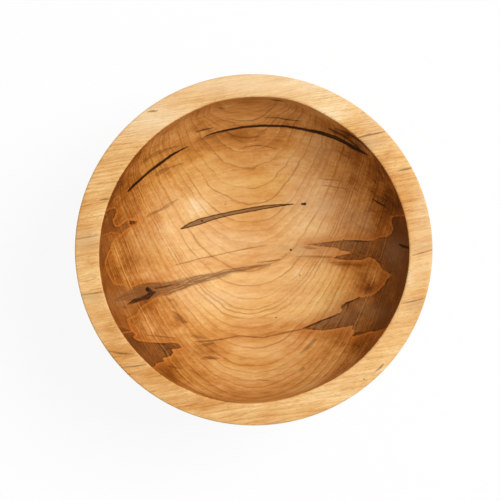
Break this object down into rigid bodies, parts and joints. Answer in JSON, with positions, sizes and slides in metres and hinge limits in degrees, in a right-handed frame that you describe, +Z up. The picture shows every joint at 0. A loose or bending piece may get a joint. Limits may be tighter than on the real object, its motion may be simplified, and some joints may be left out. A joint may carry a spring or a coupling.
{
  "type": "bead spinner",
  "caption": "Turned wooden bead spinner: a wide round bowl with a flat rim that spins freely on a ball bearing spindle and lifts off its low turned base with rubber feet.",
  "frame": {"origin": "middle of the table plane under the rubber feet, on the spin axis", "axes": "+Z up along the spin axis, out of the bowl's mouth; +X along the wood's grain; +Y across the grain, to the top of the picture"},
  "size_m": [0.18, 0.18, 0.113],
  "materials": {
    "bowl_maple": "oiled, satin",
    "base_maple": "oiled, satin",
    "aluminium": "turned",
    "ground_steel": "ground",
    "bearing_steel": "polished",
    "screw_steel": "zinc plated",
    "nylon": "moulded",
    "rubber": "matt"
  },
  "bodies": {
    "base": {"base": "base_maple", "bearing_housing": "aluminium", "housing_screws": "screw_steel", "upper_outer_ring": "bearing_steel", "upper_top_shield": "ground_steel", "upper_bottom_shield": "ground_steel", "outer_spacer": "aluminium", "lower_outer_ring": "bearing_steel", "lower_top_shield": "ground_steel", "lower_bottom_shield": "ground_steel", "retaining_ring": "ground_steel", "rubber_foot_1": "rubber", "rubber_foot_2": "rubber", "rubber_foot_3": "rubber", "rubber_foot_4": "rubber", "foot_screws": "screw_steel"},
    "rotor": {"upper_inner_ring": "bearing_steel", "inner_spacer": "aluminium", "lower_inner_ring": "bearing_steel"},
    "bowl": {"bowl": "bowl_maple", "hub_plate": "aluminium", "hub_screws": "screw_steel", "spindle": "ground_steel"},
    "upper_ball_set": {"upper_balls": "bearing_steel", "upper_cage": "nylon"},
    "lower_ball_set": {"lower_balls": "bearing_steel", "lower_cage": "nylon"}
  },
  "joints": [
    {"name": "bowl_spin", "type": "hinge", "parent": "base", "child": "rotor", "pos_m": [0, 0, 0.0353], "axis": [0, 0, 1], "continuous": true},
    {"name": "bowl_lift", "type": "slide", "parent": "rotor", "child": "bowl", "axis": [0, 0, 1], "range_m": [0, 0.036]},
    {"name": "upper_cage_spin", "type": "hinge", "parent": "base", "child": "upper_ball_set", "pos_m": [0, 0, 0.0318], "axis": [0, 0, 1], "continuous": true},
    {"name": "lower_cage_spin", "type": "hinge", "parent": "base", "child": "lower_ball_set", "pos_m": [0, 0, 0.0188], "axis": [0, 0, 1], "continuous": true}
  ],
  "couplings": [
    {"joint": "upper_cage_spin", "follows": "bowl_spin", "ratio": 0.36767},
    {"joint": "lower_cage_spin", "follows": "bowl_spin", "ratio": 0.36767}
  ]
}
